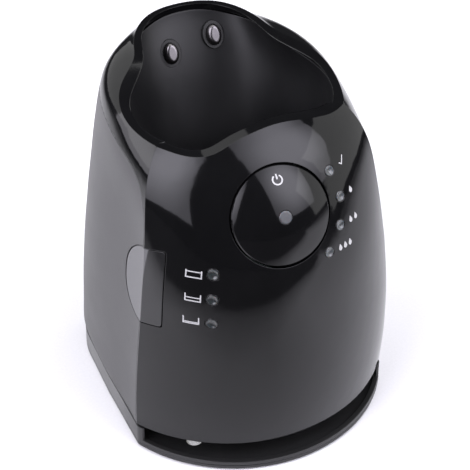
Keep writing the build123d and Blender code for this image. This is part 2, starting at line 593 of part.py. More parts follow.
# ---------------------------------------------------------------- drying fan
fx, fy = FAN
fan_housing = tube(Plane.XY, fx, fy, 13.2, 12.0, CHASSIS_Z, CHASSIS_Z + 10.0)
for k in range(3):
    a = k * 2 * pi / 3 + 0.4
    with BuildPart() as strut:
        with BuildSketch(Plane(origin=(fx, fy, CHASSIS_Z), x_dir=(cos(a), sin(a), 0), z_dir=(0, 0, 1))):
            with Locations((6.4, 0)):
                Rectangle(12.0, 1.6)
        extrude(amount=1.4)
    fan_housing = fan_housing + strut.part
fan_housing = fan_housing + rod(Plane.XY, fx, fy, 5.0, CHASSIS_Z, CHASSIS_Z + 1.4) + rod(Plane.XY, fx, fy, 2.4, CHASSIS_Z + 1.3, CHASSIS_Z + 5.0)
fan_housing = fan_housing - rod(Plane.XY, fx, fy, 1.05, CHASSIS_Z + 0.6, CHASSIS_Z + 9)
fan_rotor = (rod(Plane.XY, fx, fy, 4.8, CHASSIS_Z + 2.2, CHASSIS_Z + 9.0) - rod(Plane.XY, fx, fy, 2.8, CHASSIS_Z + 1, CHASSIS_Z + 7.6)
             + rod(Plane.XY, fx, fy, 1.0, CHASSIS_Z + 1.4, CHASSIS_Z + 8.0))
for k in range(7):
    a = k * 2 * pi / 7
    with BuildPart() as blade:
        with BuildSketch(Plane(origin=(fx, fy, CHASSIS_Z + 5.8), x_dir=(-sin(a), cos(a), 0), z_dir=(cos(a), sin(a), 0)).offset(4.4)):
            with Locations(Location((0, 0, 0), (0, 0, 32))):
                Rectangle(6.6, 1.0)
        extrude(amount=6.7)
    fan_rotor = fan_rotor + blade.part
print("fan", fan_rotor.volume, len(fan_rotor.solids()), "pump", pump_rotor.volume, len(pump_rotor.solids()), "pipe", return_pipe.volume)

# ---------------------------------------------------------------- power inlet and main board
power_socket = (block(-9.0, 9.0, 53.0, 66.6, SOCK_Z - 6.5, SOCK_Z + 6.5) + block(-9.0, 9.0, 66.5, 68.9, SOCK_Z - 6.5, SOCK_Z + 6.5))
power_socket = power_socket - block(-7.2, 7.2, 57.0, 72.0, SOCK_Z - 4.6, SOCK_Z + 4.6)
socket_plane = Plane(origin=(0, 57.0, SOCK_Z), x_dir=(-1, 0, 0), z_dir=(0, 1, 0))
socket_pins = None
for sx in (-1, 1):
    power_socket = power_socket - rod(socket_plane, sx * 3.3, 0, 1.2, -6, 1)
    s = rod(socket_plane, sx * 3.3, 0, 1.2, -6.5, 8.0)
    socket_pins = s if socket_pins is None else socket_pins + s
main_board = block(-22.0, 22.0, 48.6, 50.2, CHASSIS_Z, CHASSIS_Z + 34)
for sx in (-1, 1):
    main_board = main_board - rod(socket_plane, sx * 3.3, 0, 1.25, -12, 1)
board_components = (block(-18, -10, 50.2, 55.0, 80, 88) + block(8, 19, 50.2, 53.0, 82, 88)
                    + rod(Plane(origin=(-14, 50.2, 70), x_dir=(-1, 0, 0), z_dir=(0, 1, 0)), 0, 0, 3.5, 0, 8.5)
                    + rod(Plane(origin=(15, 50.2, 70), x_dir=(-1, 0, 0), z_dir=(0, 1, 0)), 0, 0, 3.0, 0, 8.5))

# ---------------------------------------------------------------- latch of the lift button
latch_arm = block(-58.0, -54.6, -29.0, -23.0, 94.0, 104.0) + block(-57.2, -55.0, -29.0, -23.0, 44.0, 104.0)
latch_arm = latch_arm & body_loft(3.5)

# level electrodes that feel the fluid in the cartridge
level_electrodes = None
for x in (24.0, 31.0):
    s = rod(Plane.XY, x, 20.0, 1.2, 33.0, CHASSIS_Z + 8) + rod(Plane.XY, x, 20.0, 2.6, CHASSIS_Z, CHASSIS_Z + 3)
    chassis = chassis - rod(Plane.XY, x, 20.0, 1.2, 40, 70)
    level_electrodes = s if level_electrodes is None else level_electrodes + s

# ---------------------------------------------------------------- write the pieces
pieces = {
    "base_tray": base_tray, "base_feet": base_feet, "guide_posts": guide_posts, "base_screws": base_screws,
    "lift_springs": lift_springs,
    "front_cover": front_cover, "rear_housing": rear_housing, "cradle": cradle, "chassis": chassis,
    "chassis_screws": chassis_screws, "guide_sleeves": guide_sleeves,
    "start_button": start_button.part, "button_lens": button_lens_b.part,
    "program_lenses": program_lenses, "level_lenses": level_lenses, "lift_button": lift_button,
    "display_board": display_board, "display_leds": display_leds, "start_switch": start_switch,
    "level_board": level_board, "level_leds": level_leds,
    "contact_pin_left": pins[0], "contact_pin_right": pins[1], "contact_carrier": contact_carrier,
    "contact_spring_left": contact_springs[0], "contact_spring_right": contact_springs[1],
    "pump_housing": pump_housing, "pump_rotor": pump_rotor, "pump_motor": pump_motor, "suction_pipe": suction_pipe,
    "return_pipe": return_pipe, "drain_seal": drain_seal, "drain_sieve": drain_sieve,
    "fan_housing": fan_housing, "fan_rotor": fan_rotor,
    "power_socket": power_socket, "socket_pins": socket_pins, "main_board": main_board,
    "board_components": board_components, "latch_arm": latch_arm, "level_electrodes": level_electrodes,
}
for name, piece in pieces.items():
    piece.label = name
    export_step(piece, "parts/" + name + ".step")
    print(name, len(piece.solids()), round(piece.volume, 1))
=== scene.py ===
import bpy, bmesh, math
from mathutils import Vector, Matrix
from mathutils.bvhtree import BVHTree


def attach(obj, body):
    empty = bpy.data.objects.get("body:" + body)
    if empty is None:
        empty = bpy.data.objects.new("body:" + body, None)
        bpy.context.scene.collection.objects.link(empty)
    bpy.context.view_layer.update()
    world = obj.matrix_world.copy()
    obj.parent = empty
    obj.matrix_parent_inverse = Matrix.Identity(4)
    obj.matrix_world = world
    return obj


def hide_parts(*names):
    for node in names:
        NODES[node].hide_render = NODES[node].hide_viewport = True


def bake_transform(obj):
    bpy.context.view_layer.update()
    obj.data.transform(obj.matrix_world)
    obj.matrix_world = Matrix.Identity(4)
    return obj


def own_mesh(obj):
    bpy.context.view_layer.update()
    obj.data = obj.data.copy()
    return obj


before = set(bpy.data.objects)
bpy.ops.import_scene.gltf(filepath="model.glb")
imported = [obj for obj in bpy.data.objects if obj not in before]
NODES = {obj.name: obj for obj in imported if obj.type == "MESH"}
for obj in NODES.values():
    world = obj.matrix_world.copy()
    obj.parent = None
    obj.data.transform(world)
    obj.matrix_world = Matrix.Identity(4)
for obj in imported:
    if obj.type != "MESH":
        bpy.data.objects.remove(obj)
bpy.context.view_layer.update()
scene = bpy.context.scene
MM = 0.001

# ------------------------------------------------------------------ camera
cam_data = bpy.data.cameras.new("camera")
cam_data.lens = 153.19
cam_data.sensor_width = 36.0
cam_data.clip_start = 0.05
cam_data.clip_end = 50.0
cam = bpy.data.objects.new("camera", cam_data)
scene.collection.objects.link(cam)
cam.location = (-0.25881, -0.66504, 0.65880)
look = Vector((0.2825, 0.7245, -0.6288)).normalized()
cam.rotation_euler = look.to_track_quat("-Z", "Y").to_euler()
scene.camera = cam


def link(obj):
    scene.collection.objects.link(obj)
    return obj


# ------------------------------------------------------------------ node helpers
class Mat:
    """a principled material with short helpers; coordinates are the piece's own, in metres"""

    def __init__(self, name):
        self.m = bpy.data.materials.new(name)
        self.m.use_nodes = True
        self.nt = self.m.node_tree
        self.b = self.nt.nodes["Principled BSDF"]
        self.tc = self.nt.nodes.new("ShaderNodeTexCoord")

    def new(self, kind, **attrs):
        n = self.nt.nodes.new(kind)
        for k, v in attrs.items():
            setattr(n, k, v)
        return n

    def link(self, a, b):
        self.nt.links.new(a, b)

    def coords(self, scale=(1, 1, 1)):
        mp = self.new("ShaderNodeMapping")
        mp.inputs["Scale"].default_value = scale
        self.link(self.tc.outputs["Object"], mp.inputs["Vector"])
        return mp.outputs["Vector"]

    def noise(self, scale, detail=2.0, rough=0.5, stretch=(1, 1, 1)):
        n = self.new("ShaderNodeTexNoise")
        n.inputs["Scale"].default_value = scale
        n.inputs["Detail"].default_value = detail
        n.inputs["Roughness"].default_value = rough
        self.link(self.coords(stretch), n.inputs["Vector"])
        return n.outputs["Fac"]

    def voronoi(self, scale, out="Distance", stretch=(1, 1, 1)):
        n = self.new("ShaderNodeTexVoronoi")
        n.inputs["Scale"].default_value = scale
        self.link(self.coords(stretch), n.inputs["Vector"])
        return n.outputs[out]

    def wave(self, scale, distortion=0.0, direction="Z", stretch=(1, 1, 1)):
        n = self.new("ShaderNodeTexWave", bands_direction=direction)
        n.inputs["Scale"].default_value = scale
        n.inputs["Distortion"].default_value = distortion
        self.link(self.coords(stretch), n.inputs["Vector"])
        return n.outputs["Fac"]

    def ramp(self, fac, c0, c1, p0=0.0, p1=1.0):
        r = self.new("ShaderNodeValToRGB")
        r.color_ramp.elements[0].position = p0
        r.color_ramp.elements[1].position = p1
        r.color_ramp.elements[0].color = (*c0, 1)
        r.color_ramp.elements[1].color = (*c1, 1)
        self.link(fac, r.inputs["Fac"])
        return r.outputs["Color"]

    def remap(self, fac, a, b, lo=0.0, hi=1.0):
        r = self.new("ShaderNodeMapRange")
        r.inputs["From Min"].default_value = lo
        r.inputs["From Max"].default_value = hi
        r.inputs["To Min"].default_value = a
        r.inputs["To Max"].default_value = b
        self.link(fac, r.inputs["Value"])
        return r.outputs["Result"]

    def math(self, op, a, b=None):
        n = self.new("ShaderNodeMath", operation=op)
        for i, v in enumerate((a, b)):
            if v is None:
                continue
            if isinstance(v, (int, float)):
                n.inputs[i].default_value = v
            else:
                self.link(v, n.inputs[i])
        return n.outputs[0]

    def mix(self, fac, a, b):
        n = self.new("ShaderNodeMix", data_type="RGBA")
        for key, v in (("Factor", fac), ("A", a), ("B", b)):
            sock = [s for s in n.inputs if s.name == key and (key == "Factor" and s.type == "VALUE" or key != "Factor" and s.type == "RGBA")][0]
            if isinstance(v, (tuple, list)):
                sock.default_value = (*v, 1)
            elif isinstance(v, (int, float)):
                sock.default_value = v
            else:
                self.link(v, sock)
        return [s for s in n.outputs if s.type == "RGBA"][0]

    def bevel(self, radius):
        n = self.new("ShaderNodeBevel", samples=6)
        n.inputs["Radius"].default_value = radius
        return n.outputs["Normal"]

    def bump(self, height, strength, distance, normal=None):
        n = self.new("ShaderNodeBump")
        n.inputs["Strength"].default_value = strength
        n.inputs["Distance"].default_value = distance
        self.link(height, n.inputs["Height"])
        if normal is not None:
            self.link(normal, n.inputs["Normal"])
        return n.outputs["Normal"]

    def set(self, **kw):
        names = {"base": "Base Color", "rough": "Roughness", "metal": "Metallic", "ior": "IOR", "spec": "Specular IOR Level",
                 "normal": "Normal", "coat": "Coat Weight", "coat_rough": "Coat Roughness", "trans": "Transmission Weight",
                 "sss": "Subsurface Weight", "aniso": "Anisotropic", "sheen": "Sheen Weight"}
        for k, v in kw.items():
            s = self.b.inputs[names[k]]
            if isinstance(v, tuple):
                s.default_value = (*v, 1)
            elif isinstance(v, (int, float)):
                s.default_value = v
            else:
                self.link(v, s)
        return self


def gloss_black(name, lo=(0.0035, 0.0035, 0.0038), hi=(0.0052, 0.0052, 0.0056), rough=(0.05, 0.085), bevel=0.35):
    """polished moulding: slight smears in the shine, very low orange peel, rounded edges"""
    m = Mat(name)
    smear = m.noise(55, 4, 0.6, (1.0, 1.0, 0.45))
    peel = m.noise(420, 2, 0.5)
    fleck = m.voronoi(900)
    base = m.mix(m.remap(fleck, 0.5, 0.0, 0.0, 0.06), m.ramp(smear, lo, hi, 0.3, 0.7), (0.03, 0.03, 0.031))
    m.set(base=base, rough=m.remap(smear, rough[0], rough[1], 0.3, 0.7), ior=1.415,
          normal=m.bump(peel, 0.05, 0.00005, m.bevel(bevel * MM)))
    return m


def satin(name, lo, hi, rough=(0.40, 0.50), grain=3800.0, strength=0.35, bevel=0.35, spec=0.5, streak=None):
    """painted or spark-eroded surface with a fine grain"""
    m = Mat(name)
    fine = m.noise(grain, 3, 0.6)
    broad = m.noise(38, 3, 0.5)
    speck = m.voronoi(grain * 0.55)
    both = m.math("ADD", m.math("MULTIPLY", fine, 0.7), m.math("MULTIPLY", speck, 0.5))
    base = m.ramp(m.math("ADD", m.math("MULTIPLY", fine, 0.55), m.math("MULTIPLY", broad, 0.45)), lo, hi, 0.35, 0.65)
    m.set(base=base, rough=m.remap(broad, rough[0], rough[1], 0.3, 0.7), spec=spec,
          normal=m.bump(both, strength, 0.00004, m.bevel(bevel * MM)))
    return m


def metal(name, colour, rough=(0.12, 0.24), brush=(1, 1, 30), scale=260, bevel=0.15):
    m = Mat(name)
    lines = m.noise(scale, 5, 0.65, brush)
    spots = m.noise(90, 2)
    dark = tuple(c * 0.82 for c in colour)
    m.set(base=m.ramp(lines, dark, colour, 0.3, 0.7), metal=1.0, rough=m.remap(spots, rough[0], rough[1], 0.3, 0.7),
          normal=m.bump(lines, 0.10, 0.00003, m.bevel(bevel * MM)))
    return m


def rubber(name, lo=(0.05, 0.05, 0.052), hi=(0.075, 0.075, 0.078)):
    m = Mat(name)
    fine = m.noise(2600, 4, 0.7)
    pores = m.voronoi(1500)
    m.set(base=m.ramp(fine, lo, hi, 0.35, 0.65), rough=m.remap(fine, 0.72, 0.88), spec=0.3,
          normal=m.bump(m.math("ADD", fine, pores), 0.3, 0.00006, m.bevel(0.25 * MM)))
    return m


def board(name, lo=(0.010, 0.075, 0.030), hi=(0.018, 0.125, 0.048)):
    """solder mask over copper tracks, with pale pads"""
    m = Mat(name)
    tracks = m.wave(260, 3.5, "X")
    tracks2 = m.wave(230, 3.0, "Z")
    edge = m.math("MAXIMUM", m.remap(tracks, 0, 1, 0.80, 0.90), m.remap(tracks2, 0, 1, 0.86, 0.94))
    pads = m.remap(m.voronoi(330), 1.0, 0.0, 0.10, 0.14)
    col = m.mix(pads, m.mix(edge, lo, hi), (0.62, 0.60, 0.55))
    m.set(base=col, rough=m.remap(m.noise(500, 3), 0.28, 0.42), coat=0.3, coat_rough=0.2,
          normal=m.bump(m.math("ADD", edge, pads), 0.4, 0.00005, m.bevel(0.1 * MM)))
    return m


def smoked(name, lo=(0.17, 0.175, 0.18), hi=(0.30, 0.31, 0.315)):
    """grey light window: slightly milky, with a fine optic pattern under the skin"""
    m = Mat(name)
    optic = m.voronoi(2400)
    cloud = m.noise(700, 3)
    m.set(base=m.ramp(m.math("ADD", m.math("MULTIPLY", optic, 0.6), m.math("MULTIPLY", cloud, 0.6)), lo, hi, 0.25, 0.75),
          rough=m.remap(cloud, 0.12, 0.22), sss=0.15, coat=0.6, coat_rough=0.06, ior=1.49,
          normal=m.bump(optic, 0.08, 0.00004, m.bevel(0.12 * MM)))
    return m


def print_white(name):
    m = Mat(name)
    fine = m.noise(3000, 3, 0.6)
    m.set(base=m.ramp(fine, (0.50, 0.50, 0.50), (0.60, 0.60, 0.60), 0.3, 0.7), rough=m.remap(fine, 0.35, 0.5), spec=0.4,
          normal=m.bump(fine, 0.15, 0.00002))
    return m


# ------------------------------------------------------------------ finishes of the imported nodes
def put(names, mat):
    for n in names.split():
        o = NODES[n]
        o.data.materials.clear()
        o.data.materials.append(mat.m)


front = gloss_black("front_gloss")
put("front_cover", front)
put("start_button", gloss_black("button_gloss", rough=(0.055, 0.09)))
put("cradle", gloss_black("cradle_semigloss", lo=(0.0085, 0.0085, 0.009), hi=(0.0115, 0.0115, 0.012), rough=(0.34, 0.42), bevel=0.6))

side = satin("side_satin", (0.046, 0.0456, 0.0464), (0.062, 0.0615, 0.0622), (0.36, 0.43), grain=2600, strength=0.30, bevel=0.4, spec=0.42)
put("rear_housing", side)

# lift button: satin where it carries on the side, polished where it carries on the front
lift = Mat("lift_two_finishes")
sep = lift.new("ShaderNodeSeparateXYZ")
lift.link(lift.tc.outputs["Object"], sep.inputs[0])
mask = lift.remap(sep.outputs["Y"], 1.0, 0.0, -0.0376, -0.0370)
fine = lift.noise(2600, 3, 0.6)
smear = lift.noise(55, 4, 0.6)
lift.set(base=lift.mix(mask, lift.ramp(fine, (0.105, 0.105, 0.108), (0.135, 0.135, 0.138), 0.35, 0.65),
                       lift.ramp(smear, (0.012, 0.012, 0.0125), (0.016, 0.016, 0.0165), 0.3, 0.7)),
         rough=lift.math("ADD", lift.remap(mask, 0.40, 0.09), lift.remap(smear, 0.0, 0.05)),
         normal=lift.bump(fine, 0.22, 0.00003, lift.bevel(0.5 * MM)))
put("lift_button", lift)

# the outer flanks are light grey, fading to black towards the front
base = Mat("base_light_flanks")
bsep = base.new("ShaderNodeSeparateXYZ")
base.link(base.tc.outputs["Object"], bsep.inputs[0])
ax = base.math("ABSOLUTE", bsep.outputs["X"])
outside = base.remap(base.math("SUBTRACT", ax, base.math("MULTIPLY", bsep.outputs["Y"], 0.010)), 0.0, 1.0, 0.0600, 0.0606)
flank = base.math("MULTIPLY", outside, base.remap(bsep.outputs["Y"], 0.0, 1.0, -0.036, -0.010))
bfine = base.noise(2200, 3, 0.6)
bspeck = base.voronoi(1300)
base.set(base=base.mix(flank, base.ramp(bfine, (0.010, 0.010, 0.010), (0.017, 0.017, 0.017), 0.35, 0.65),
                       base.ramp(bfine, (0.10, 0.10, 0.0985), (0.13, 0.13, 0.1285), 0.35, 0.65)),
         rough=base.remap(base.noise(38, 3), 0.30, 0.40, 0.3, 0.7), spec=0.6,
         normal=base.bump(base.math("ADD", base.math("MULTIPLY", bfine, 0.7), bspeck), 0.3, 0.00004, base.bevel(0.5 * MM)))
put("base_tray", base)
put("base_feet", rubber("foot_rubber"))
put("drain_seal", rubber("seal_rubber", (0.035, 0.035, 0.036), (0.06, 0.06, 0.062)))
put("guide_posts", metal("post_steel", (0.55, 0.55, 0.56), (0.18, 0.30), (1, 1, 0.05), 1400))
put("base_screws chassis_screws", metal("screw_steel", (0.50, 0.50, 0.50), (0.25, 0.38), (1, 1, 1), 1600))
put("lift_springs contact_spring_left contact_spring_right", metal("spring_wire", (0.48, 0.48, 0.50), (0.20, 0.32), (1, 1, 1), 2200, 0.05))
put("contact_pin_left contact_pin_right", metal("pin_chrome", (0.19, 0.18, 0.185), (0.25, 0.33), (1, 1, 1), 500, 0.1))
put("chassis latch_arm", satin("chassis_moulding", (0.020, 0.020, 0.021), (0.034, 0.034, 0.035), (0.50, 0.62), grain=1500, strength=0.5))
put("guide_sleeves", satin("sleeve_white", (0.62, 0.61, 0.58), (0.70, 0.69, 0.66), (0.40, 0.50), grain=1800, strength=0.25))
put("contact_carrier", satin("carrier_moulding", (0.010, 0.010, 0.010), (0.016, 0.016, 0.016), (0.42, 0.55), grain=1700, strength=0.4, bevel=0.25))
put("display_board level_board main_board", board("circuit_board"))
put("display_leds level_leds", smoked("led_epoxy", (0.50, 0.54, 0.50), (0.72, 0.76, 0.72)))
put("start_switch", satin("switch_body", (0.03, 0.03, 0.032), (0.05, 0.05, 0.052), (0.35, 0.45), grain=1600, strength=0.3, bevel=0.15))
put("board_components", satin("component_bodies", (0.022, 0.022, 0.025), (0.05, 0.05, 0.056), (0.45, 0.6), grain=1200, strength=0.4, bevel=0.15))
put("pump_housing fan_housing", satin("pump_moulding", (0.05, 0.05, 0.055), (0.08, 0.08, 0.086), (0.42, 0.52), grain=1500, strength=0.35))
put("pump_rotor fan_rotor", satin("rotor_white", (0.60, 0.60, 0.58), (0.70, 0.70, 0.68), (0.38, 0.48), grain=1500, strength=0.25, bevel=0.2))
put("pump_motor", metal("motor_can", (0.46, 0.46, 0.47), (0.28, 0.40), (1, 1, 0.1), 900, 0.3))
put("suction_pipe return_pipe", satin("pipe_silicone", (0.42, 0.43, 0.43), (0.52, 0.53, 0.53), (0.35, 0.45), grain=900, strength=0.2))
put("drain_sieve", metal("sieve_steel", (0.52, 0.52, 0.53), (0.2, 0.32), (1, 1, 1), 1500, 0.05))
put("power_socket", satin("socket_moulding", (0.010, 0.010, 0.010), (0.018, 0.018, 0.018), (0.38, 0.48), grain=2000, strength=0.35, bevel=0.3))
put("socket_pins level_electrodes", metal("pin_brass", (0.66, 0.58, 0.36), (0.16, 0.28), (1, 1, 0.2), 1200, 0.1))
put("button_lens", smoked("button_window", (0.055, 0.055, 0.060), (0.085, 0.085, 0.091)))
put("program_lenses level_lenses", smoked("window_smoke"))

# ------------------------------------------------------------------ frames on the front
TILT = math.radians(28.3)
BTN = Vector((0, -56.8, 134.7)) * MM
N = Vector((0, -math.cos(TILT), math.sin(TILT)))
V = Vector((0, math.sin(TILT), math.cos(TILT)))
U = Vector((1, 0, 0))


def tree(node):
    bm = bmesh.new()
    bm.from_mesh(NODES[node].data)
    t = BVHTree.FromBMesh(bm)
    return t, bm


cover_tree, _keep1 = tree("front_cover")
button_tree, _keep2 = tree("start_button")
LENS_TREE, _keep3 = tree("program_lenses")
LEVEL_TREE, _keep4 = tree("level_lenses")


def on_front(a, b):
    """point on the cover at a, b mm in the button's plane"""
    o = BTN + U * a * MM + V * b * MM + N * 0.06
    hit, nor, _, _ = cover_tree.ray_cast(o, -N)
    return hit, nor


def on_face(x, z):
    """point on the cover at x, z mm seen from straight ahead"""
    hit, nor, _, _ = cover_tree.ray_cast(Vector((x * MM, -0.12, z * MM)), Vector((0, 1, 0)))
    return hit, nor


class Decal:
    """thin print laid on a surface"""

    def __init__(self, name, t, hit, nor, body, lift=0.05):
        self.t = t
        self.o = hit
        self.n = nor.normalized()
        self.u = Vector((0, 0, 1)).cross(self.n).normalized()
        self.v = self.n.cross(self.u).normalized()
        self.name = name
        self.body = body
        self.lift = lift
        self.verts = []
        self.faces = []

    def point(self, a, b):
        p = self.o + self.u * a * MM + self.v * b * MM
        hit, nor, _, _ = self.t.ray_cast(p + self.n * 0.006, -self.n)
        if hit is None:
            hit, nor = p, self.n
        self.verts.append(hit + nor.normalized() * self.lift * MM)
        return len(self.verts) - 1

    def stroke(self, pts, w, closed=False):
        """a line of width w through pts, mitred, cut finely enough to follow the curve of the surface"""
        fine = []
        seq = list(pts) + ([pts[0]] if closed else [])
        for (x0, y0), (x1, y1) in zip(seq, seq[1:]):
            k = max(1, int(math.hypot(x1 - x0, y1 - y0) / 0.4))
            for i in range(k):
                fine.append((x0 + (x1 - x0) * i / k, y0 + (y1 - y0) * i / k))
        if not closed:
            fine.append(seq[-1])
        n = len(fine)
        rows = []
        for i, (x, y) in enumerate(fine):
            a = fine[i - 1] if (i > 0 or closed) else fine[i]
            b = fine[(i + 1) % n] if (i < n - 1 or closed) else fine[i]
            d0 = Vector((x - a[0], y - a[1]))
            d1 = Vector((b[0] - x, b[1] - y))
            if d0.length < 1e-9:
                d0 = d1
            if d1.length < 1e-9:
                d1 = d0
            d0.normalize(); d1.normalize()
            t = (d0 + d1).normalized()
            nrm = Vector((-t.y, t.x))
            c = max(0.5, nrm.dot(Vector((-d0.y, d0.x))))
            h = w / 2 / c
            rows.append([self.point(x + nrm.x * h * s, y + nrm.y * h * s) for s in (1, 0, -1)])
        m = n if closed else n - 1
        for i in range(m):
            r, q = rows[i], rows[(i + 1) % n]
            for k in range(2):
                self.faces.append((r[k], r[k + 1], q[k + 1], q[k]))

    def fill(self, pts):
        """a filled outline as two rings round its centre"""
        cx = sum(p[0] for p in pts) / len(pts)
        cy = sum(p[1] for p in pts) / len(pts)
        c = self.point(cx, cy)
        half = [self.point(cx + (x - cx) * 0.5, cy + (y - cy) * 0.5) for x, y in pts]
        rim = [self.point(x, y) for x, y in pts]
        k = len(pts)
        for i in range(k):
            j = (i + 1) % k
            self.faces.append((c, half[i], half[j]))
            self.faces.append((half[i], rim[i], rim[j], half[j]))

    def build(self, mat):
        me = bpy.data.meshes.new(self.name)
        me.from_pydata([tuple(v) for v in self.verts], [], self.faces)
        me.validate()
        bm = bmesh.new()
        bm.from_mesh(me)
        bmesh.ops.recalc_face_normals(bm, faces=bm.faces)
        if sum((f.normal.dot(self.n) for f in bm.faces)) < 0:
            bmesh.ops.reverse_faces(bm, faces=bm.faces)
        bm.to_mesh(me)
        bm.free()
        ob = link(bpy.data.objects.new(self.name, me))
        me.materials.append(mat.m)
        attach(ob, self.body)
        return ob


ink = print_white("symbol_print")


def tray_symbol(name, x, z, level):
    h, n = on_face(x, z)
    d = Decal(name, cover_tree, h, n, "housing")
    w, t = 3.45, 1.75
    d.stroke([(-w, t), (-w, -t), (w, -t), (w, t)], 0.6)
    if level is not None:
        d.stroke([(-w + 0.2, level), (w - 0.2, level)], 0.52)
    return d.build(ink)


tray_symbol("print_level_full", -39.2, 112.3, 1.0)
tray_symbol("print_level_half", -40.4, 100.8, -0.1)
tray_symbol("print_level_empty", -41.6, 88.9, -1.05)


def drop_outline(x, y, s):
    pts = []
    for i in range(20):
        a = math.radians(-90 + 360 * i / 20)
        r = 1.0
        px, py = math.cos(a), math.sin(a)
        if py > 0:
            k = py ** 1.4
            px *= 1 - 0.78 * k
            py *= 1.75
        pts.append((x + px * s * 1.02, y + (py - 0.3) * s * 1.12))
    return pts


def drops_symbol(name, spots):
    h, n = on_front(*spots[0])
    d = Decal(name, cover_tree, h, n, "housing")
    for a, b in spots:
        hh, nn = on_front(a, b)
        q = hh - d.o
        d.fill(drop_outline(q.dot(d.u) / MM, q.dot(d.v) / MM, 1.0))
    return d.build(ink)


DROPS = {"print_clean_short": [(35.0, 2.8)], "print_clean_normal": [(32.9, -10.0), (35.9, -9.3)], "print_clean_long": [(25.6, -20.8), (28.4, -20.3), (31.2, -19.8)]}
for key, spots in DROPS.items():
    drops_symbol(key, spots)

h, n = on_front(32.3, 16.5)
d = Decal("print_ready", cover_tree, h, n, "housing")
d.stroke([(-1.55, -0.7), (-0.3, -1.75), (1.85, 1.55)], 0.55)
d.build(ink)

o = BTN + V * 15.9 * MM + N * 0.03 + U * 0.2 * MM
h, n, _, _ = button_tree.ray_cast(o, -N)
d = Decal("print_standby", button_tree, h, n, "start_button")
arc = []
for i in range(41):
    a = math.radians(90 + 33 + (360 - 66) * i / 40)
    arc.append((2.1 * math.cos(a), 2.1 * math.sin(a)))
d.stroke(arc, 0.66)
d.stroke([(0, 2.65), (0, 0.25)], 0.66)
d.build(ink)

# ------------------------------------------------------------------ light windows: a dished cap in a dark rounded ring
def light_windows(name, spots, r, body, mats, node):
    """spots are (point, outward normal); each gets a dished cap and the ring it sits in"""
    prof = [(0.0, -0.50), (0.18, -0.49), (0.36, -0.44), (0.54, -0.34), (0.70, -0.19), (0.80, -0.05), (0.86, 0.03), (0.91, 0.07), (0.96, 0.05), (1.0, -0.03)]
    ring = [(1.0, -0.03), (1.03, 0.03), (1.07, 0.07), (1.12, 0.07), (1.17, 0.03), (1.20, -0.10)]
    verts, faces, which = [], [], []
    seg = 40
    for hit, nor in spots:
        n = nor.normalized()
        u = Vector((0, 0, 1)).cross(n).normalized()
        v = n.cross(u).normalized()
        for k, profile in enumerate((prof, ring)):
            rows = []
            for f, h in profile:
                if f == 0.0:
                    verts.append(hit + n * h * MM)
                    rows.append([len(verts) - 1])
                    continue
                row = []
                for i in range(seg):
                    a = 2 * math.pi * i / seg
                    verts.append(hit + (u * math.cos(a) + v * math.sin(a)) * f * r * MM + n * (h + 0.03) * MM)
                    row.append(len(verts) - 1)
                rows.append(row)
            for a, b in zip(rows, rows[1:]):
                for i in range(seg):
                    j = (i + 1) % seg
                    faces.append((a[0], b[i], b[j]) if len(a) == 1 else (a[i], b[i], b[j], a[j]))
                    which.append(k)
    me = bpy.data.meshes.new(name)
    me.from_pydata([tuple(p) for p in verts], [], faces)
    for p, k in zip(me.polygons, which):
        p.material_index = k
        p.use_smooth = True
    for m in mats:
        me.materials.append(m.m)
    ob = link(bpy.data.objects.new(name, me))
    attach(ob, body)
    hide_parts(node)
    return ob


window_mat = smoked("window_dish", (0.045, 0.047, 0.048), (0.095, 0.098, 0.10))
window_ring = gloss_black("window_ring", rough=(0.12, 0.18), bevel=0.05)
spots = []
for a in (27.9, 2.8, -22.2, -47.3):
    hit, nor, _, _ = LENS_TREE.ray_cast(BTN + U * 28.9 * math.cos(math.radians(a)) * MM + V * 28.9 * math.sin(math.radians(a)) * MM + N * 0.06, -N)
    spots.append((hit, nor))
light_windows("program_windows", spots, 2.2, "housing", (window_mat, window_ring), "program_lenses")
spots = []
for x, z in ((-32.0, 113.0), (-33.2, 100.8), (-33.9, 88.2)):
    hit, nor, _, _ = LEVEL_TREE.ray_cast(Vector((x * MM, -0.12, z * MM)), Vector((0, 1, 0)))
    spots.append((hit, nor))
dim_mat = smoked("window_dish_dim", (0.014, 0.016, 0.016), (0.036, 0.040, 0.040))
light_windows("level_windows", spots, 2.45, "housing", (dim_mat, window_ring), "level_lenses")

# ------------------------------------------------------------------ white plug seen through the left drain hole of the base, with a painted glow standing in for the lit table seen through the hole
def disc(name, cx, cy, z, r, body, mat):
    verts = [(cx * MM, cy * MM, (z + 0.25) * MM)]
    faces = []
    seg = 48
    prof = [(0.35, 0.25), (0.7, 0.2), (0.93, 0.1), (1.0, -0.05), (1.0, -0.4)]
    for f, h in prof:
        for i in range(seg):
            a = 2 * math.pi * i / seg
            verts.append(((cx + r * f * math.cos(a)) * MM, (cy + r * f * math.sin(a)) * MM, (z + h) * MM))
    for i in range(seg):
        j = (i + 1) % seg
        faces.append((0, 1 + i, 1 + j))
        for k in range(len(prof) - 1):
            b = 1 + k * seg
            faces.append((b + i, b + seg + i, b + seg + j, b + j))
    me = bpy.data.meshes.new(name)
    me.from_pydata(verts, [], faces)
    for p in me.polygons:
        p.use_smooth = True
    me.materials.append(mat.m)
    ob = link(bpy.data.objects.new(name, me))
    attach(ob, body)
    return ob


glowing_plug = satin("plug_white_painted_glow", (0.86, 0.86, 0.85), (0.93, 0.93, 0.92), (0.5, 0.6), grain=1200, strength=0.15)
# painted light: the emission makes the plugs glow though they are no lamp
for node in glowing_plug.m.node_tree.nodes:
    if node.type == "BSDF_PRINCIPLED":
        node.inputs["Emission Color"].default_value = (1.0, 1.0, 0.98, 1)
        node.inputs["Emission Strength"].default_value = 0.22
disc("drain_plug_left", -36.5, -43.0, 2.0, 3.6, "base", glowing_plug)
disc("drain_plug_right", 36.5, -43.0, 2.0, 3.6, "base", glowing_plug)
